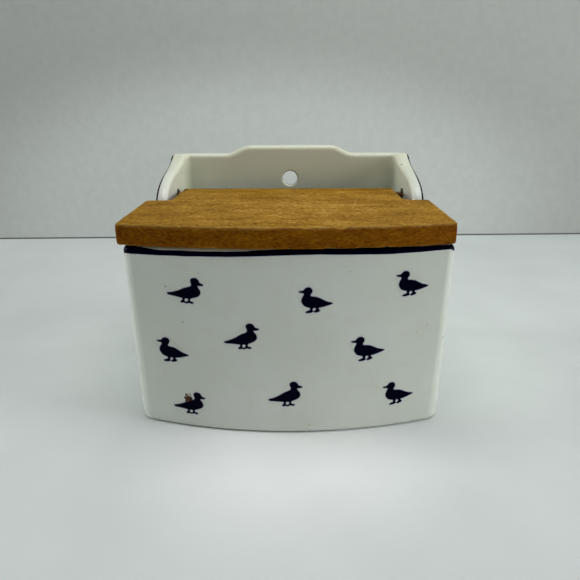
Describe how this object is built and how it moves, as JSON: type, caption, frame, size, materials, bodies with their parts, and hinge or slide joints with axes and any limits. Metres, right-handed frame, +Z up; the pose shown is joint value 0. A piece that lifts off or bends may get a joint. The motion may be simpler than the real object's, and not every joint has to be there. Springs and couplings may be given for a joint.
{
  "type": "salt box with hinged lid",
  "caption": "Glazed ceramic salt box with a bowed front, a back plate with a hanging hole, and a wooden lid that swings up on pins through the ears.",
  "frame": {"origin": "on the surface that the box stands on, midway across the ceramic box and midway along its depth", "axes": "+X to the right as seen from the front, +Y from the bowed front to the flat back, +Z up"},
  "size_m": [0.1541, 0.1314, 0.1248],
  "materials": {
    "glazed_ceramic": "glossy white glaze on cast stoneware, with navy painted trim and duck figures and an unglazed foot",
    "lid_wood": "honey brown varnish, worn, with darker front edge",
    "pin_steel": "rusty steel nail"
  },
  "bodies": {
    "box": {"salt_box": "glazed_ceramic"},
    "lid": {"lid": "lid_wood", "hinge_pin_left": "pin_steel", "hinge_pin_right": "pin_steel"}
  },
  "joints": [
    {"name": "lid_hinge", "type": "hinge", "parent": "box", "child": "lid", "pos_m": [0, 0.038, 0.0979], "axis": [-1, 0, 0], "range_deg": [0, 123]}
  ]
}
